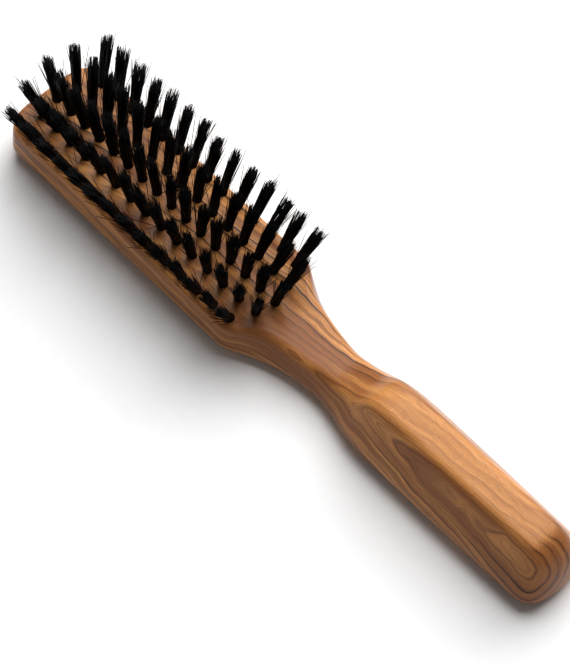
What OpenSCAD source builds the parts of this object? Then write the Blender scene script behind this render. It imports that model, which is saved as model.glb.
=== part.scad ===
// Vanity hairbrush: one carved piece of olive wood with five rows of bristle tufts.
// Every tuft is a bundle that stands in its own blind hole, held by a flat metal
// staple at the bottom. The brush lies on its back with the bristles up.
// X runs from the head's end to the handle's end, Y across, Z up from the back.
// The origin is at the middle of the back.

/* [Wooden body] */
// Overall length
body_l = 215; // [210:1:228]
// Width of the head before its long edges are rounded
head_w = 35.6; // [34:0.2:38]
// Thickness of the head, from the back to the bristle face
head_t = 13.4; // [13:0.2:15]
// Length of the straight part of the head, from its end to the shoulder
head_l = 94.5; // [93:0.5:97]
// Width of the waist between the head and the handle, before rounding
neck_w = 18.8; // [17:0.2:21]
// Height of the neck's top surface above the back
neck_t = 12.3; // [11:0.1:13]
// Width of the handle before rounding
handle_w = 26.8; // [24:0.2:29]
// Height of the handle's flat top above the back
handle_t = 22; // [20:0.5:24]
// Width of the handle's flat top, between its two long edges
handle_flat_w = 11.2; // [9:0.2:12]
// How far the back of the neck is hollowed out
neck_hollow = 1.2; // [0:0.1:2]

/* [Bristles] */
// Length of bristle that stands out of the wood
bristle_l = 15.5; // [14:0.5:18]
// Diameter of a tuft where it leaves its hole
tuft_d = 2.96; // [2.6:0.02:2.96]
// Diameter of a tuft at its tips
tip_d = 3.4; // [3:0.1:4]
// Distance between two rows
row_gap = 6.8; // [6.6:0.1:6.9]
// Length of the middle row, between the centres of its end tufts
row_l = 93.5; // [90:0.5:94]
// Lean of the end tufts along the brush, in degrees
lean_along = 14.5; // [0:0.5:15]
// Lean of the two outer rows, in degrees
lean_outer = 21; // [0:0.5:22]
// Lean of the second and fourth rows, in degrees
lean_inner = 12; // [0:0.5:13]

/* [Holes and staples] */
// Diameter of a tuft hole
hole_d = 3; // [3:0.05:3.2]
// Depth of a tuft hole along its axis
hole_depth = 8; // [7:0.5:8.5]
// Length of a staple, across its hole
staple_l = 2.5; // [2:0.1:2.6]
// Height of a staple
staple_h = 1.5; // [1:0.1:2]
// Thickness of a staple
staple_t = 0.35; // [0.25:0.05:0.5]

/* [Hidden] */

wood = "#b97b43";
bristle = "#17181d";
steel = "#b9bcc0";

// Rows, from the -Y side: number of tufts, length as a share of the middle row's, and lean
row_tufts = [14, 15, 16, 15, 14];
row_share = [0.893, 0.968, 1, 0.968, 0.893];
row_lean = [-lean_outer, -lean_inner, 0, lean_inner, lean_outer];
middle_row = 2;
// Middle of the rows, measured from the head's end
rows_x = 53.6;
// How far the end tufts of the other rows are drawn in, at the handle end and at the head end
draw_in_handle = 0.8;
draw_in_head = 0.5;
// A high power leaves all but the last tufts of a row in line
draw_in_power = 6;

// Stations along the body, measured from the head's end
scoop_x = head_l + 12;
neck_x = 125.5;
neck_from_x = neck_x - 5;
crest_x = neck_x + 21;
swell_end_x = neck_x + 31;

// Height of the widest line of the section in the head, the neck and the handle, and the
// shares of the section's height that it stays between where the ends close
widest_line = [3, 4.5, 6];
widest_shares = [0.175, 0.6];
// How far the body's top edge stands in from its widest line in the head
head_flare = 1.2;
// How much wider than the handle's flat half the top is where the scoop starts and at the neck
flat_spread = [4, 1.2];
// Width of the back as a share of the body's
back_share = 0.74;
// How much narrower the handle is at its end, as a share of its width
handle_taper = 0.04;
// How far a rounded edge starts from its corner: top edge, back edge, and the widest line in
// the head, the neck and the handle; never more than a set share of the side it lies on
top_cut = 2.7;
back_cut = 5;
side_cut = [3, 4.5, 5];
cut_share = 0.46;
corner_steps = 5;

// Roundings of the two ends as [length, bluntness], seen from above, at the top and at the back
head_plan = [8, 2];
head_top = [3.5, 2];
head_back = [4, 2];
handle_plan = [8.5, 2.8];
handle_top = [12, 2.3];
handle_back = [6, 2];
// Rounding of the end of the handle's flat
flat_end = [10, 3];
// Mean height that both ends close towards
end_z = 5;
// A small first step keeps the end sections from closing to a line
end_gap = 0.04;

// Smooth curve through points [x, value] that never swings past them
function span(p, x, i = 0) = i >= len(p) - 2 || x < p[i + 1][0] ? i : span(p, x, i + 1);
function slope(p, i) = (p[i + 1][1] - p[i][1]) / (p[i + 1][0] - p[i][0]);
function tangent(p, i) =
    i == 0 || i == len(p) - 1 ? 0 :
    let (a = slope(p, i - 1), b = slope(p, i)) a * b <= 0 ? 0 : 2 * a * b / (a + b);
function curve(p, x) =
    let (
        i = span(p, x),
        h = p[i + 1][0] - p[i][0],
        u = min(max((x - p[i][0]) / h, 0), 1),
        v = 1 - u
    )
    p[i][1] * (1 + 2 * u) * v * v + h * tangent(p, i) * u * v * v
    + p[i + 1][1] * (1 + 2 * v) * u * u - h * tangent(p, i + 1) * v * u * u;

// Rounded end: 0 at the end itself, 1 from the rounding's length on
function closing(d, end) =
    d >= end[0] ? 1 : pow(1 - pow(1 - (d + end_gap) / (end[0] + end_gap), end[1]), 1 / end[1]);

// The shoulder as [share of its length, share of the width difference that is left]
shoulder = [[0, 1], [0.08, 0.96], [0.17, 0.8], [0.36, 0.47], [0.58, 0.19], [0.78, 0.045], [1, 0]];
// The swell from the neck into the handle, in the same form
swell = [[0, 0], [0.26, 0.29], [0.53, 0.83], [0.75, 0.97], [1, 1]];
// The rise from the neck to the crest as [distance from the neck, share of the height]
rise = [[1, 0], [13, 0.36], [20, 0.87], [28, 1]];

function handle_share(x) = 1 - handle_taper * pow(max(x - swell_end_x, 0) / (body_l - swell_end_x), 2);
function body_half_w(x) =
    x < neck_x
    ? neck_w / 2 + (head_w - neck_w) / 2 * curve(shoulder, max(x - head_l, 0) / (neck_x - head_l))
    : neck_w / 2 + (handle_w * handle_share(x) - neck_w) / 2
        * curve(swell, min((x - neck_x) / (swell_end_x - neck_x), 1));
function half_w(x) = body_half_w(x) * closing(x, head_plan) * closing(body_l - x, handle_plan);

// Height of the top surface: face, scoop of the neck, rise to the crest, flat of the handle
function top_line(x) = curve(concat(
    [[scoop_x, head_t], [neck_from_x, neck_t]],
    [for (p = rise) [neck_x + p[0], neck_t + p[1] * (handle_t - neck_t)]]
), x);
function top_z(x) =
    end_z + (top_line(x) - end_z) * closing(x, head_top) * closing(body_l - x, handle_top);

// Height of the back, which is flat but for the hollow of the neck
function back_line(x) = curve([[head_l, 0], [neck_x, neck_hollow], [swell_end_x, 0]], x);
function back_z(x) =
    let (open = closing(x, head_back) * closing(body_l - x, handle_back))
    end_z * (1 - open) + back_line(x) * open;

// A value that changes smoothly from the head to the neck and the handle
function along(values, x) = curve([[head_l, values[0]], [neck_x, values[1]], [swell_end_x, values[2]]], x);

// Half width of the top surface between its two long edges
function flat_line(x) =
    let (edge = handle_flat_w / 2)
    curve([
        [head_l, head_w / 2 - head_flare], [scoop_x, edge + flat_spread[0]],
        [neck_from_x, edge + flat_spread[1]], [neck_x + rise[0][0], edge], [body_l, edge]
    ], x);
function flat_half_w(x) =
    min(half_w(x) * (1 - 2 * head_flare / head_w), flat_line(x) * closing(body_l - x, flat_end));
function widest_z(x) =
    let (low = back_z(x), deep = top_z(x) - low)
    min(max(along(widest_line, x), low + widest_shares[0] * deep), low + widest_shares[1] * deep);

// One rounded corner of a section: a quadratic arc that starts and ends cut away from p
function toward(p, q, d) = p + (q - p) * min(d / norm(q - p), cut_share);
function arc_point(s, p, e, u) = s * (1 - u) * (1 - u) + 2 * p * u * (1 - u) + e * u * u;
function corner(a, p, b, cut) =
    let (s = toward(p, a, cut), e = toward(p, b, cut))
    [for (i = [0 : corner_steps]) arc_point(s, p, e, i / corner_steps)];

// Section of the body across X: top edge, widest line and back edge on each side
function section(x) =
    let (
        t = flat_half_w(x), w = half_w(x), b = w * back_share,
        zt = top_z(x), zw = widest_z(x), zb = back_z(x),
        pts = [[-t, zt], [t, zt], [w, zw], [b, zb], [-b, zb], [-w, zw]],
        side = along(side_cut, x),
        cuts = [top_cut, top_cut, side, back_cut, back_cut, side],
        n = len(pts)
    )
    [for (k = [0 : n - 1])
        each [for (q = corner(pts[(k + n - 1) % n], pts[k], pts[(k + 1) % n], cuts[k]))
            [x - body_l / 2, q[0], q[1]]]];

// Where the sections lie: close together at both ends and through the shoulder and crest
end_steps = 8;
head_steps = 7;
handle_steps = 4;
shaped_step = 2.6;
shaped_end_x = crest_x + 10;
head_from_x = head_plan[0];
handle_to_x = body_l - handle_top[0];
stations = concat(
    [for (i = [0 : end_steps]) head_from_x * (1 - cos(90 * i / end_steps))],
    [for (i = [1 : head_steps]) head_from_x + (head_l - head_from_x) * i / (head_steps + 0.5)],
    [for (x = [head_l : shaped_step : shaped_end_x]) x],
    [for (i = [1 : handle_steps]) shaped_end_x + (handle_to_x - shaped_end_x) * i / handle_steps],
    [for (i = [1 : end_steps]) handle_to_x + handle_top[0] * sin(90 * i / end_steps)]
);

// Closed skin over a list of sections that all have the same number of points. Each section
// runs clockwise as seen from +X, and so does every face as seen from outside
module loft(rings) {
    m = len(rings[0]);
    n = len(rings);
    function at(i, j) = i * m + j % m;
    polyhedron(
        points = [for (r = rings) each r],
        faces = concat(
            [[for (j = [m - 1 : -1 : 0]) at(0, j)]],
            [for (i = [0 : n - 2], j = [0 : m - 1]) [at(i, j), at(i + 1, j + 1), at(i + 1, j)]],
            [for (i = [0 : n - 2], j = [0 : m - 1]) [at(i, j), at(i, j + 1), at(i + 1, j + 1)]],
            [[for (j = [0 : m - 1]) at(n - 1, j)]]
        )
    );
}

// Put children at tuft i of row r, with +Z along the tuft and zero on the bristle face
function tuft_u(r, i) = 2 * i / (row_tufts[r] - 1) - 1;
function tuft_x(r, i) = row_l / 2 * row_share[r] * tuft_u(r, i);
function draw_in(u) = (u > 0 ? draw_in_handle : draw_in_head) * pow(abs(u), draw_in_power);
function row_y(r, u) =
    let (side = r - middle_row) side * row_gap - sign(side) * draw_in(u);
module at_tuft(r, i) {
    u = tuft_u(r, i);
    translate([rows_x - body_l / 2 + tuft_x(r, i), row_y(r, u), head_t])
        rotate([-row_lean[r], lean_along * row_share[r] * u, 0])
            children();
}

// The bristle face is drilled from above, through all that stands over a leaning hole's mouth
hole_over = 3;
round_steps = 24;
module wooden_body() {
    color(wood) difference() {
        loft([for (x = stations) section(x)]);
        for (r = [0 : len(row_tufts) - 1], i = [0 : row_tufts[r] - 1]) at_tuft(r, i)
            translate([0, 0, -hole_depth])
                cylinder(d = hole_d, h = hole_depth + hole_over, $fn = round_steps);
    }
}

// A bundle of bristle: straight in its hole, spread towards the tips. Its foot stands just
// above the staple, and its tips are rounded off
foot_gap = 0.1;
straight_l = 0.8;
tip_round = [0.6, 0.8];
module tuft() {
    foot = staple_h + foot_gap - hole_depth;
    rotate_extrude($fn = round_steps) polygon([
        [0, foot], [tuft_d / 2, foot], [tuft_d / 2, straight_l],
        [tip_d / 2, bristle_l - tip_round[1]], [tip_d / 2 - tip_round[0], bristle_l], [0, bristle_l]
    ]);
}

module bristle_row(r) {
    color(bristle) for (i = [0 : row_tufts[r] - 1]) at_tuft(r, i) tuft();
}

// A flat staple that stands on edge across the bottom of its hole
staple_gap = 0.02;
module staple_row(r) {
    color(steel) for (i = [0 : row_tufts[r] - 1]) at_tuft(r, i)
        translate([-staple_l / 2, -staple_t / 2, staple_gap - hole_depth])
            cube([staple_l, staple_t, staple_h]);
}

wooden_body();
bristle_row(0);  // bristle_row_1
bristle_row(1);  // bristle_row_2
bristle_row(2);  // bristle_row_3
bristle_row(3);  // bristle_row_4
bristle_row(4);  // bristle_row_5
staple_row(0);  // staple_row_1
staple_row(1);  // staple_row_2
staple_row(2);  // staple_row_3
staple_row(3);  // staple_row_4
staple_row(4);  // staple_row_5
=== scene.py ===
import math

import bmesh
import bpy
import numpy as np
from mathutils import Matrix, Vector


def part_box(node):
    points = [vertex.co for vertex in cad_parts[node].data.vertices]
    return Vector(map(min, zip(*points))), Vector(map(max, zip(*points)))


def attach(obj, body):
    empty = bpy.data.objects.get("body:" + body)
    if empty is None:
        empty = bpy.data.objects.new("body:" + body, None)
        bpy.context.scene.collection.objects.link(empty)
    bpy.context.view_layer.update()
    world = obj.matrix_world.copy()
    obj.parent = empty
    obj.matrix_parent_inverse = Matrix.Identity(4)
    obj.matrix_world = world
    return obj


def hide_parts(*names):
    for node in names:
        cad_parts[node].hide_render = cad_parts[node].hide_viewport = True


# Vanity hairbrush: an olive wood body with five rows of black bristle tufts. Lengths are in
# millimetres until a mesh is made, and the camera, floor and lights are in metres. Stations
# along the body are measured from the head's end. Meshes are in the CAD's frame, whose X
# starts at the body's middle.
MM = 0.001
ROOT = "root"

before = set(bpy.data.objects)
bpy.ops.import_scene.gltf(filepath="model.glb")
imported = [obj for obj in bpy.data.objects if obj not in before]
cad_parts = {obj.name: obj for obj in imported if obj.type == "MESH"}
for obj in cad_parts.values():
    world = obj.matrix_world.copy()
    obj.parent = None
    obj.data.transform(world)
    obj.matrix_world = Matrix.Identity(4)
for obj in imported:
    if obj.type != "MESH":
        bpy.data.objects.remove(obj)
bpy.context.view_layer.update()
body_low, body_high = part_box("wooden_body")
BODY_L = (body_high.x - body_low.x) / MM
HANDLE_T = (body_high.z - body_low.z) / MM

# ---------------------------------------------------------------- shape of the wooden body
HEAD_W, HEAD_T, HEAD_L = 35.6, 13.4, 94.5
NECK_W, NECK_T, NECK_HOLLOW = 18.8, 12.3, 1.2
HANDLE_W, HANDLE_FLAT_W, HANDLE_TAPER = 26.8, 11.2, 0.04
HEAD_FLARE, FLAT_SPREAD, BACK_SHARE = 1.2, (4, 1.2), 0.74

SCOOP_X = HEAD_L + 12
NECK_X = 125.5
NECK_FROM_X = NECK_X - 5
SWELL_END_X = NECK_X + 31

WIDEST_LINE, WIDEST_SHARES = (3, 4.5, 6), (0.175, 0.6)
TOP_CUT, BACK_CUT, SIDE_CUT, CUT_SHARE = 2.7, 5, (3, 4.5, 5), 0.46

# Roundings of the ends as (length, bluntness)
HEAD_PLAN, HEAD_TOP, HEAD_BACK = (8, 2), (3.5, 2), (4, 2)
HANDLE_PLAN, HANDLE_TOP, HANDLE_BACK = (8.5, 2.8), (12, 2.3), (6, 2)
FLAT_END = (10, 3)
# Mean height that both ends close towards
END_Z = 5
# A small first step keeps the end sections from closing to a line
END_GAP = 0.002

# Shoulder and swell as (share of the length, share of the width difference), and the rise to the
# handle as (distance from the neck, share of the height)
SHOULDER = ((0, 1), (0.08, 0.96), (0.17, 0.8), (0.36, 0.47), (0.58, 0.19), (0.78, 0.045), (1, 0))
SWELL = ((0, 0), (0.26, 0.29), (0.53, 0.83), (0.75, 0.97), (1, 1))
RISE = ((1, 0), (13, 0.36), (20, 0.87), (28, 1))

# ---------------------------------------------------------------- rows of tufts
ROW_TUFTS = (14, 15, 16, 15, 14)
ROW_SHARE = (0.893, 0.968, 1, 0.968, 0.893)
ROW_LEAN = (-21, -12, 0, 12, 21)
ROW_L, ROW_GAP, ROWS_X, LEAN_ALONG = 93.5, 6.8, 53.6, 14.5
DRAW_IN_HANDLE, DRAW_IN_HEAD, DRAW_IN_POWER = 0.8, 0.5, 6
HOLE_D, HOLE_DEPTH, HOLE_OVER, HOLE_SIDES = 3, 8, 3, 32
TUFT_D, BRISTLE_L = 2.96, 15.5


def curve(points, x):
    """Smooth curve through points (x, value) that never swings past them."""
    def slope(k):
        return (points[k + 1][1] - points[k][1]) / (points[k + 1][0] - points[k][0])

    def tangent(k):
        if k in (0, len(points) - 1):
            return 0
        a, b = slope(k - 1), slope(k)
        return 0 if a * b <= 0 else 2 * a * b / (a + b)

    i = 0
    while i < len(points) - 2 and x >= points[i + 1][0]:
        i += 1
    h = points[i + 1][0] - points[i][0]
    u = min(max((x - points[i][0]) / h, 0), 1)
    v = 1 - u
    return (points[i][1] * (1 + 2 * u) * v * v + h * tangent(i) * u * v * v
            + points[i + 1][1] * (1 + 2 * v) * u * u - h * tangent(i + 1) * v * u * u)


def closing(d, end):
    """0 at an end of the body, 1 from the rounding's length on."""
    length, bluntness = end
    if d >= length:
        return 1
    return (1 - (1 - (d + END_GAP) / (length + END_GAP)) ** bluntness) ** (1 / bluntness)


def along(values, x):
    """A value that changes smoothly from the head to the neck and the handle."""
    return curve(tuple(zip((HEAD_L, NECK_X, SWELL_END_X), values)), x)


def body_half_w(x):
    if x < NECK_X:
        share = max(x - HEAD_L, 0) / (NECK_X - HEAD_L)
        return NECK_W / 2 + (HEAD_W - NECK_W) / 2 * curve(SHOULDER, share)
    taper = 1 - HANDLE_TAPER * (max(x - SWELL_END_X, 0) / (BODY_L - SWELL_END_X)) ** 2
    share = min((x - NECK_X) / (SWELL_END_X - NECK_X), 1)
    return NECK_W / 2 + (HANDLE_W * taper - NECK_W) / 2 * curve(SWELL, share)


def half_w(x):
    return body_half_w(x) * closing(x, HEAD_PLAN) * closing(BODY_L - x, HANDLE_PLAN)


def top_line(x):
    rise = tuple((NECK_X + d, NECK_T + share * (HANDLE_T - NECK_T)) for d, share in RISE)
    return curve(((SCOOP_X, HEAD_T), (NECK_FROM_X, NECK_T)) + rise, x)


def top_z(x):
    return END_Z + (top_line(x) - END_Z) * closing(x, HEAD_TOP) * closing(BODY_L - x, HANDLE_TOP)


def back_z(x):
    is_open = closing(x, HEAD_BACK) * closing(BODY_L - x, HANDLE_BACK)
    return END_Z * (1 - is_open) + along((0, NECK_HOLLOW, 0), x) * is_open


def flat_half_w(x):
    edge = HANDLE_FLAT_W / 2
    line = curve((
        (HEAD_L, HEAD_W / 2 - HEAD_FLARE), (SCOOP_X, edge + FLAT_SPREAD[0]),
        (NECK_FROM_X, edge + FLAT_SPREAD[1]), (NECK_X + RISE[0][0], edge), (BODY_L, edge)), x)
    return min(half_w(x) * (1 - 2 * HEAD_FLARE / HEAD_W), line * closing(BODY_L - x, FLAT_END))


def widest_z(x):
    low = back_z(x)
    deep = top_z(x) - low
    return min(max(along(WIDEST_LINE, x), low + WIDEST_SHARES[0] * deep), low + WIDEST_SHARES[1] * deep)


CORNER_STEPS = 9
SIDE_STEPS = 7


def section(x):
    """Points of one section as (y, z), clockwise as seen from +X: six rounded corners and the
    straight sides between them."""
    t, w = flat_half_w(x), half_w(x)
    b = w * BACK_SHARE
    zt, zw, zb = top_z(x), widest_z(x), back_z(x)
    corners = [Vector(p) for p in ((-t, zt), (t, zt), (w, zw), (b, zb), (-b, zb), (-w, zw))]
    side = along(SIDE_CUT, x)
    cuts = (TOP_CUT, TOP_CUT, side, BACK_CUT, BACK_CUT, side)

    def toward(p, q, cut):
        return p.lerp(q, min(cut / (q - p).length, CUT_SHARE))

    points = []
    n = len(corners)
    for k in range(n):
        p, following = corners[k], corners[(k + 1) % n]
        start, end = toward(p, corners[k - 1], cuts[k]), toward(p, following, cuts[k])
        for i in range(CORNER_STEPS + 1):
            u = i / CORNER_STEPS
            points.append(start * (1 - u) ** 2 + 2 * p * u * (1 - u) + end * u * u)
        arrival = toward(following, p, cuts[(k + 1) % n])
        points += [end.lerp(arrival, i / SIDE_STEPS) for i in range(1, SIDE_STEPS)]
    return points


def stations():
    """Where the sections lie: close together at both ends, and about 1 mm apart between them."""
    end_steps, step = 22, 1.0
    start, stop = HEAD_PLAN[0], BODY_L - HANDLE_TOP[0]
    middle = round((stop - start) / step)
    turns = [math.pi / 2 * i / end_steps for i in range(end_steps + 1)]
    return ([start * (1 - math.cos(a)) for a in turns]
            + [start + (stop - start) * i / middle for i in range(1, middle)]
            + [stop + HANDLE_TOP[0] * math.sin(a) for a in turns])


def in_frame(x, y, z):
    """A point measured from the head's end, in metres in the CAD's frame."""
    return Vector(((x - BODY_L / 2) * MM, y * MM, z * MM))


def blank_mesh():
    """The body before it is drilled."""
    rings = [[in_frame(x, p.x, p.y) for p in section(x)] for x in stations()]
    m, n = len(rings[0]), len(rings)
    faces = [tuple(range(m))]
    for i in range(n - 1):
        for j in range(m):
            k = (j + 1) % m
            faces.append((i * m + j, (i + 1) * m + j, (i + 1) * m + k, i * m + k))
    faces.append(tuple((n - 1) * m + j for j in reversed(range(m))))
    mesh = bpy.data.meshes.new("blank")
    mesh.from_pydata([p for ring in rings for p in ring], [], faces)
    return mesh


# ---------------------------------------------------------------- places of the tufts
def tuft_matrix(r, i):
    """Puts a tuft's own frame, with +Z along the tuft and zero on the bristle face, in millimetres."""
    side = r - len(ROW_TUFTS) // 2
    u = 2 * i / (ROW_TUFTS[r] - 1) - 1
    draw_in = (DRAW_IN_HANDLE if u > 0 else DRAW_IN_HEAD) * abs(u) ** DRAW_IN_POWER
    y = side * ROW_GAP - math.copysign(draw_in, side) * (side != 0)
    x = ROWS_X - BODY_L / 2 + ROW_L / 2 * ROW_SHARE[r] * u
    lean_x = Matrix.Rotation(math.radians(-ROW_LEAN[r]), 4, "X")
    lean_y = Matrix.Rotation(math.radians(LEAN_ALONG * ROW_SHARE[r] * u), 4, "Y")
    return Matrix.Translation((x, y, HEAD_T)) @ lean_y @ lean_x


def drills_mesh():
    """All the tuft holes as one mesh of cylinders."""
    bm = bmesh.new()
    to_metres = Matrix.Scale(MM, 4)
    for r, count in enumerate(ROW_TUFTS):
        for i in range(count):
            middle = Matrix.Translation((0, 0, (HOLE_OVER - HOLE_DEPTH) / 2))
            bmesh.ops.create_cone(
                bm, cap_ends=True, segments=HOLE_SIDES, radius1=HOLE_D / 2, radius2=HOLE_D / 2,
                depth=HOLE_DEPTH + HOLE_OVER, matrix=to_metres @ tuft_matrix(r, i) @ middle)
    mesh = bpy.data.meshes.new("drills")
    bm.to_mesh(mesh)
    bm.free()
    return mesh


def cut_out(mesh, drills):
    """The mesh with the drills taken out of it."""
    target, cutter = (bpy.data.objects.new(m.name, m) for m in (mesh, drills))
    for o in (target, cutter):
        bpy.context.scene.collection.objects.link(o)
    cut = target.modifiers.new("cut", "BOOLEAN")
    cut.object, cut.operation, cut.solver = cutter, "DIFFERENCE", "EXACT"
    graph = bpy.context.evaluated_depsgraph_get()
    result = bpy.data.meshes.new_from_object(target.evaluated_get(graph))
    for o in (target, cutter):
        bpy.data.objects.remove(o)
    return result


def shade_smooth(mesh, sharp_deg=42):
    """Smooth faces, with hard edges where two faces meet at more than the given angle."""
    bm = bmesh.new()
    bm.from_mesh(mesh)
    for face in bm.faces:
        face.smooth = True
    for edge in bm.edges:
        edge.smooth = len(edge.link_faces) != 2 or edge.calc_face_angle(0) < math.radians(sharp_deg)
    bm.to_mesh(mesh)
    bm.free()


GRAIN = "grain"
GRAIN_WIDTH_POWER, GRAIN_HEIGHT_POWER = 0.8, 0.85


def store_grain(mesh):
    """Gives each vertex its place in the plank, in millimetres. The growth rings narrow at the
    waist and rise with the handle, so the figure runs along the body."""
    values = []
    for vertex in mesh.vertices:
        x = vertex.co.x / MM + BODY_L / 2
        across = (HANDLE_W / 2 / body_half_w(x)) ** GRAIN_WIDTH_POWER
        upward = (HANDLE_T / top_line(x)) ** GRAIN_HEIGHT_POWER
        values += (x, vertex.co.y / MM * across, vertex.co.z / MM * upward)
    attribute = mesh.attributes.new(GRAIN, "FLOAT_VECTOR", "POINT")
    attribute.data.foreach_set("vector", values)


# ---------------------------------------------------------------- materials
def srgb(*levels):
    """A colour given as 0 to 255 levels, as linear RGBA."""
    linear = [(c / 255 / 12.92) if c <= 10 else ((c / 255 + 0.055) / 1.055) ** 2.4 for c in levels]
    return (*linear, 1)


class Shader:
    """Builds a node material. Each call adds one node and returns the socket to use next."""

    def __init__(self, name):
        self.material = bpy.data.materials.new(name)
        self.material.use_nodes = True
        self.tree = self.material.node_tree
        self.tree.nodes.clear()

    def node(self, kind, inputs=(), **settings):
        node = self.tree.nodes.new("ShaderNode" + kind)
        for name, value in settings.items():
            setattr(node, name, value)
        for key, value in inputs.items() if isinstance(inputs, dict) else enumerate(inputs):
            if isinstance(value, bpy.types.NodeSocket):
                self.tree.links.new(value, node.inputs[key])
            else:
                node.inputs[key].default_value = value
        return node

    def math(self, operation, *values, clamp=False):
        return self.node("Math", values, operation=operation, use_clamp=clamp).outputs[0]

    def vector(self, operation, *values):
        node = self.node("VectorMath", values, operation=operation)
        return node.outputs["Value" if operation == "LENGTH" else "Vector"]

    def noise(self, vector, scale, detail=2.0, roughness=0.5, output="Fac"):
        scaled = self.vector("MULTIPLY", vector, scale)
        inputs = {"Vector": scaled, "Scale": 1.0, "Detail": detail, "Roughness": roughness}
        return self.node("TexNoise", inputs).outputs[output]

    def between(self, value, low, high, to_low=0.0, to_high=1.0):
        node = self.node("MapRange", (value, low, high, to_low, to_high), interpolation_type="SMOOTHSTEP")
        return node.outputs["Result"]

    def profile(self, value, stops):
        """A grey curve through (position, level) stops."""
        ramp = self.node("ValToRGB", (value,))
        ramp.color_ramp.interpolation = "EASE"
        elements = ramp.color_ramp.elements
        while len(elements) < len(stops):
            elements.new(0.5)
        for element, (position, level) in zip(elements, stops):
            element.position = position
            element.color = (level, level, level, 1)
        return ramp.outputs["Color"]

    def mix(self, factor, a, b):
        return self.node("Mix", {0: factor, 6: a, 7: b}, data_type="RGBA").outputs[2]

    def finish(self, principled, bump=None):
        if bump is not None:
            height, strength, distance = bump
            inputs = {"Height": height, "Strength": strength, "Distance": distance}
            principled["Normal"] = self.node("Bump", inputs).outputs["Normal"]
        surface = self.node("BsdfPrincipled", principled).outputs[0]
        self.node("OutputMaterial", {"Surface": surface})
        return self.material


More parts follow.
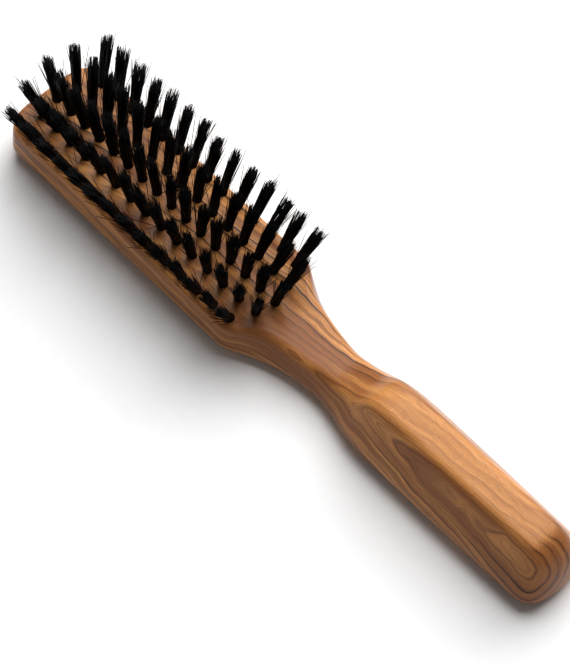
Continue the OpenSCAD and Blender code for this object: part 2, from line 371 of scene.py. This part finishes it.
def olive_wood():
    """Oiled olive wood: growth rings cut at a slant, some with a sharp dark edge, broad brown
    bands between them, long fibres and short pores."""
    s = Shader("olive_wood")
    grain = s.node("Attribute", attribute_name=GRAIN).outputs["Vector"]
    parts = s.node("SeparateXYZ", (grain,)).outputs
    x = parts["X"]

    def sway(scale, amount, detail):
        colour = s.noise(grain, scale, detail=detail, output="Color")
        centred = s.vector("SUBTRACT", colour, (0.5, 0.5, 0.5))
        return s.vector("MULTIPLY", centred, (0.0, amount, amount))

    slow = sway((0.013, 0.025, 0.025), 13.0, 1.0)
    quick = sway((0.05, 0.07, 0.07), 5.0, 2.0)
    kinks = sway((0.13, 0.1, 0.1), 1.6, 1.0)
    swayed = s.vector("ADD", s.vector("ADD", s.vector("ADD", grain, slow), quick), kinks)

    # Along the handle the rings' middle runs outside the near flank, just under its top edge. It
    # sinks towards the handle's end, and the rings widen that way
    middle, sinking, widening = (0.0, -13.3, 25.8), 0.03, -0.12
    sunk = s.node("CombineXYZ", (0.0, 0.0, s.math("MULTIPLY", x, sinking))).outputs[0]
    offset = s.vector("SUBTRACT", s.vector("ADD", swayed, sunk), middle)
    across = s.vector("MULTIPLY", offset, (0.0, 1.0, 1.0))
    depth = s.vector("LENGTH", across)
    ring = s.math("ADD", depth, s.math("MULTIPLY", x, widening))

    def rings(spacing, stops):
        count = s.math("DIVIDE", ring, spacing)
        edge = s.profile(s.math("FRACT", count), stops)
        chance = s.node("TexWhiteNoise", {"W": s.math("FLOOR", count)}, noise_dimensions="1D")
        return edge, chance.outputs["Value"]

    def along_rings(scale_x, scale_ring, detail):
        scaled = (s.math("MULTIPLY", x, scale_x), s.math("MULTIPLY", ring, scale_ring), 0.0)
        place = s.node("CombineXYZ", scaled).outputs[0]
        return s.noise(place, (1.0, 1.0, 1.0), detail=detail)

    # Spacing of the rings, and how dark one is along its width as (place, level)
    vein_spacing, line_spacing = 2.8, 0.85
    vein_stops = ((0, 0), (0.35, 0.02), (0.76, 0.36), (0.82, 0.95), (0.95, 1), (1, 0))
    line_stops = ((0, 0), (0.5, 0.06), (0.88, 1), (1, 0))
    # How much of the darker colour each part of the figure takes at most
    line_share, band_share, streak_share, vein_share, pore_share = 0.55, 0.72, 0.4, 0.9, 0.35

    # Veins come and go. The handle's flat top is plainer, and so are the rings round the middle. Keeping
    # veins, lines, bands and streaks off the flat top leaves the flanks browner: this is partly the
    # wood's own figure and partly painted shade
    edge, chance = rings(vein_spacing, vein_stops)
    patchy = s.between(s.noise(grain, (0.03, 0.12, 0.12)), 0.34, 0.58, 0.4, 1.0)
    plain_top_and_flank_shade = s.between(parts["Z"], 20.6, 21.8, 1.0, 0.42)
    calm = s.math("MULTIPLY", plain_top_and_flank_shade, s.between(depth, 7.5, 11.0, 0.3, 1.0))
    strong = s.between(chance, 0.0, 0.5, 0.4, 1.0)
    shown = s.math("MULTIPLY", strong, calm)
    vein = s.math("MULTIPLY", s.math("MULTIPLY", edge, patchy), shown, clamp=True)
    line, line_chance = rings(line_spacing, line_stops)
    faint = s.math("MULTIPLY", line_chance, line_share)
    line = s.math("MULTIPLY", s.math("MULTIPLY", line, plain_top_and_flank_shade), faint)

    # Brown bands and streaks are kept to the flanks: partly figure, partly painted shade
    band = s.math("MULTIPLY", s.between(along_rings(0.012, 0.17, 3.0), 0.42, 0.6), plain_top_and_flank_shade)
    streak = s.math("MULTIPLY", s.between(along_rings(0.02, 0.95, 2.0), 0.44, 0.62), plain_top_and_flank_shade)
    fibre = s.noise(swayed, (0.05, 3.4, 3.4), detail=3.0, roughness=0.62)
    pores = s.between(s.noise(swayed, (0.35, 5.5, 5.5), detail=1.0), 0.64, 0.76)

    golden, tan = srgb(214, 150, 86), srgb(192, 126, 67)
    brown, deep = srgb(118, 66, 39), srgb(42, 23, 20)
    colour = s.mix(s.between(fibre, 0.32, 0.68), tan, golden)
    colour = s.mix(s.math("MULTIPLY", band, band_share), colour, brown)
    colour = s.mix(s.math("MULTIPLY", streak, streak_share), colour, brown)
    colour = s.mix(line, colour, brown)
    colour = s.mix(s.math("MULTIPLY", vein, vein_share), colour, deep)
    colour = s.mix(s.math("MULTIPLY", pores, pore_share), colour, deep)
    roughness = s.math("ADD", s.between(fibre, 0.25, 0.75, 0.27, 0.38), s.math("MULTIPLY", pores, 0.15))
    height = s.math("SUBTRACT", s.math("MULTIPLY", fibre, 0.35), pores)
    principled = {
        "Base Color": colour, "Roughness": roughness, "IOR": 1.48, "Specular IOR Level": 0.14,
        "Coat Weight": 0.14, "Coat Roughness": 0.28, "Coat IOR": 1.35}
    return s.finish(principled, bump=(height, 0.25, 0.05 * MM))


TONE = "tone"


def black_bristle():
    """Dyed natural bristle: nearly black, a little browner on some hairs, with a soft gloss and patches
    of painted blue-grey sheen.
    """
    s = Shader("black_bristle")
    tone = s.node("Attribute", attribute_name=TONE).outputs["Fac"]
    place = s.node("TexCoord").outputs["Object"]
    # This noise paints patches of blue-grey sheen into the colour and also varies the roughness
    sheen_and_gloss = s.noise(place, (900.0, 900.0, 300.0), detail=2.0)
    colour = s.mix(s.between(tone, 0.75, 1.0), srgb(7, 7, 8), srgb(16, 12, 11))
    colour = s.mix(s.between(sheen_and_gloss, 0.5, 0.75, 0.0, 0.4), colour, srgb(14, 14, 18))
    principled = {
        "Base Color": colour, "Roughness": s.between(sheen_and_gloss, 0.3, 0.7, 0.42, 0.58), "IOR": 1.5,
        "Specular IOR Level": 0.1}
    return s.finish(principled)


def flat_wire():
    """Drawn steel wire with fine scratches along it."""
    s = Shader("flat_wire")
    place = s.node("TexCoord").outputs["Object"]
    scratch = s.noise(place, (300.0, 4000.0, 4000.0), detail=3.0)
    colour = s.mix(scratch, srgb(176, 178, 182), srgb(214, 215, 216))
    principled = {
        "Base Color": colour, "Metallic": 1.0, "Roughness": s.between(scratch, 0.3, 0.7, 0.28, 0.42)}
    return s.finish(principled, bump=(scratch, 0.2, 0.01 * MM))


def matte_floor():
    s = Shader("matte_floor")
    place = s.node("TexCoord").outputs["Object"]
    tooth = s.noise(place, (400.0, 400.0, 400.0))
    colour = s.mix(tooth, (0.9, 0.9, 0.9, 1), (0.93, 0.93, 0.93, 1))
    return s.finish({"Base Color": colour, "Roughness": 0.9, "Specular IOR Level": 0.1})


# ---------------------------------------------------------------- pieces
def add_piece(name, mesh, material, node):
    """Adds a piece that stands for a CAD node and rides with the brush."""
    mesh.materials.clear()
    mesh.materials.append(material)
    piece = bpy.data.objects.new(name, mesh)
    bpy.context.scene.collection.objects.link(piece)
    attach(piece, ROOT)
    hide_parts(node)


def carved_body():
    mesh = cut_out(blank_mesh(), drills_mesh())
    shade_smooth(mesh)
    store_grain(mesh)
    add_piece("carved_body", mesh, olive_wood(), "wooden_body")


HAIRS = 110
HAIR_SIDES = 3
HAIR_RADIUS, HAIR_TIP_RADIUS = 0.125, 0.075
HAIR_FOOT = -5.5
HAIR_STOPS = np.array((0.0, 0.06, 0.36, 0.7, 1.0))
# Hairs taper to their tips from this share of their length
TAPER_FROM = 0.7
LOCKS = 7
STRAY_SHARE, BENT_SHARE = 0.11, 0.002
# How far tips move out, as a share of the foot's distance from the tuft's or the lock's middle
LOCK_FAN, LOCK_FAN_SPREAD, HAIR_FAN, STRAY_FAN, BENT_FAN = 0.22, 0.1, 0.2, 0.8, 6
# Standard deviations of how far tips lean and of lengths
LOCK_LEAN, HAIR_LEAN, STRAY_LEAN, TUFT_LEAN = 0.27, 0.27, 1.1, 0.4
LOCK_LENGTH, TUFT_LENGTH = 0.45, 0.25
# A whole hair is HAIR_OVER longer than BRISTLE_L, and hairs fall short of that by HAIR_SHORTFALL
# on average. Bent ones lose a further share
HAIR_OVER, HAIR_SHORTFALL, BENT_SHORTENING = 1.1, 1.1, 0.35
CURL, BEND_POWER = 0.1, 1.05
FIRST_SEED = 41


def tuft_hairs(rng):
    """Centrelines of one tuft's hairs in its own frame, as an array (hair, stop, 3), in mm."""
    index = np.arange(HAIRS)
    golden_angle = math.pi * (3 - math.sqrt(5))
    reach = np.sqrt((index + 0.5) / HAIRS) * (TUFT_D / 2 - HAIR_RADIUS)
    foot = np.stack((reach * np.cos(index * golden_angle), reach * np.sin(index * golden_angle)), 1)

    # Hairs stand together in a few locks, each with its own lean and length
    heart = foot[rng.choice(HAIRS, LOCKS, replace=False)]
    lock = np.linalg.norm(foot[:, None] - heart[None], axis=2).argmin(axis=1)
    lock_lean = heart * rng.normal(LOCK_FAN, LOCK_FAN_SPREAD) + rng.normal(0, LOCK_LEAN, heart.shape)
    lock_length = rng.normal(0, LOCK_LENGTH, LOCKS)

    stray = rng.random(HAIRS) < STRAY_SHARE
    bent = rng.random(HAIRS) < BENT_SHARE
    splay = lock_lean[lock] + HAIR_FAN * (foot - heart[lock]) + rng.normal(0, HAIR_LEAN, foot.shape)
    splay += stray[:, None] * (foot * STRAY_FAN + rng.normal(0, STRAY_LEAN, foot.shape))
    splay += bent[:, None] * foot * BENT_FAN
    lean = rng.normal(0, TUFT_LEAN, 2)
    length = BRISTLE_L + rng.normal(0, TUFT_LENGTH) + lock_length[lock]
    length = length - rng.exponential(HAIR_SHORTFALL, HAIRS) + HAIR_OVER
    length = length * (1 - BENT_SHORTENING * bent)
    curl = rng.normal(0, CURL, foot.shape)
    out = np.clip((HAIR_STOPS - HAIR_STOPS[1]) / (1 - HAIR_STOPS[1]), 0, 1)
    bend = out ** BEND_POWER
    bow = np.sin(math.pi * out)
    flat = foot[:, None] + (splay + lean)[:, None] * bend[:, None] + curl[:, None] * bow[:, None]
    height = out[None] * length[:, None]
    height[:, 0] = HAIR_FOOT
    return np.concatenate((flat, height[..., None]), 2)


def hair_tubes(paths):
    """Vertices and faces of thin tubes along paths, an array (hair, stop, 3)."""
    hairs, stops, _ = paths.shape
    along_path = np.gradient(paths, axis=1)
    along_path /= np.linalg.norm(along_path, axis=2, keepdims=True)
    side_a = np.cross(along_path, (1.0, 0.0, 0.0))
    side_a /= np.linalg.norm(side_a, axis=2, keepdims=True)
    side_b = np.cross(along_path, side_a)
    turn = 2 * math.pi * np.arange(HAIR_SIDES) / HAIR_SIDES
    radius = np.interp(HAIR_STOPS, (TAPER_FROM, 1), (HAIR_RADIUS, HAIR_TIP_RADIUS))[None, :, None, None]
    ring = np.cos(turn)[:, None] * side_a[:, :, None] + np.sin(turn)[:, None] * side_b[:, :, None]
    vertices = (paths[:, :, None] + ring * radius).reshape(-1, 3)

    def index(hair, stop, side):
        return (hair * stops + stop) * HAIR_SIDES + side % HAIR_SIDES

    faces = []
    for h in range(hairs):
        for k in range(stops - 1):
            for j in range(HAIR_SIDES):
                low = (index(h, k, j), index(h, k, j + 1))
                high = (index(h, k + 1, j + 1), index(h, k + 1, j))
                faces.append(low + high)
        faces.append(tuple(index(h, 0, j) for j in reversed(range(HAIR_SIDES))))
        faces.append(tuple(index(h, stops - 1, j) for j in range(HAIR_SIDES)))
    return vertices, faces


def bristle_row(r, material):
    """All the tufts of row r as one piece, each hair a tube of its own."""
    rng = np.random.default_rng(FIRST_SEED + r)
    paths = []
    for i in range(ROW_TUFTS[r]):
        place = np.array(tuft_matrix(r, i))
        paths.append(tuft_hairs(rng) @ place[:3, :3].T + place[:3, 3])
    vertices, faces = hair_tubes(np.concatenate(paths))
    mesh = bpy.data.meshes.new("hairs")
    mesh.from_pydata(vertices * MM, [], faces)
    mesh.shade_smooth()
    per_hair = len(HAIR_STOPS) * HAIR_SIDES
    tone = np.repeat(rng.random(len(vertices) // per_hair), per_hair)
    mesh.attributes.new(TONE, "FLOAT", "POINT").data.foreach_set("value", tone.astype(np.float32))
    add_piece(f"bristle_tufts_{r + 1}", mesh, material, f"bristle_row_{r + 1}")


def staples(material):
    """The staples keep their CAD shape and take a better material."""
    for r in range(len(ROW_TUFTS)):
        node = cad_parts[f"staple_row_{r + 1}"]
        node.material_slots[0].material = material


# ---------------------------------------------------------------- camera, floor and light
def camera():
    """Above the near side of the handle, from well away with a long lens."""
    azimuth, elevation, roll = math.radians(47.1), math.radians(60), 0.0024
    distance, lens = 0.954, 213.9
    target = Vector((-0.0003, -0.0026, 0.0067))
    back = Vector((
        math.cos(elevation) * math.sin(azimuth), -math.cos(elevation) * math.cos(azimuth),
        math.sin(elevation)))
    right = Vector((0, 0, 1)).cross(back).normalized()
    basis = Matrix((right, back.cross(right), back)).transposed().to_4x4()
    data = bpy.data.cameras.new("camera")
    data.sensor_fit, data.sensor_width, data.lens = "HORIZONTAL", 36, lens
    data.clip_start, data.clip_end = 0.05, 20
    made = bpy.data.objects.new("camera", data)
    made.matrix_world = (
        Matrix.Translation(target + back * distance) @ basis @ Matrix.Rotation(roll, 4, "Z"))
    bpy.context.scene.collection.objects.link(made)
    bpy.context.scene.camera = made


def floor():
    """A wide round sheet that the brush lies on, just below its back."""
    radius, drop = 6, 0.05 * MM
    bm = bmesh.new()
    bmesh.ops.create_circle(bm, cap_ends=True, segments=96, radius=radius)
    mesh = bpy.data.meshes.new("floor")
    bm.to_mesh(mesh)
    bm.free()
    mesh.materials.append(matte_floor())
    made = bpy.data.objects.new("floor", mesh)
    made.location.z = -drop
    bpy.context.scene.collection.objects.link(made)


def softbox(name, location, size, power):
    """A rectangular light that faces the brush."""
    data = bpy.data.lights.new(name, "AREA")
    data.shape, data.size, data.size_y = "RECTANGLE", *size
    data.energy = power
    made = bpy.data.objects.new(name, data)
    made.location = location
    made.rotation_euler = Vector(location).to_track_quat("Z", "Y").to_euler()
    bpy.context.scene.collection.objects.link(made)


def studio():
    """Two soft lights from the far side and a weak white fill from all round."""
    fill = 0.14
    softbox("overhead", (-0.3, 0.66, 1.15), (1.4, 1.4), 30)
    softbox("far_side", (-0.3, 1.3, 0.7), (1.4, 0.8), 9)
    world = bpy.data.worlds.new("studio")
    world.use_nodes = True
    sky = world.node_tree.nodes["Background"]
    sky.inputs["Color"].default_value = (1, 1, 1, 1)
    sky.inputs["Strength"].default_value = fill
    bpy.context.scene.world = world
    bpy.context.scene.view_settings.view_transform = "Standard"


camera()
floor()
studio()
carved_body()
bristle = black_bristle()
for row in range(len(ROW_TUFTS)):
    bristle_row(row, bristle)
staples(flat_wire())
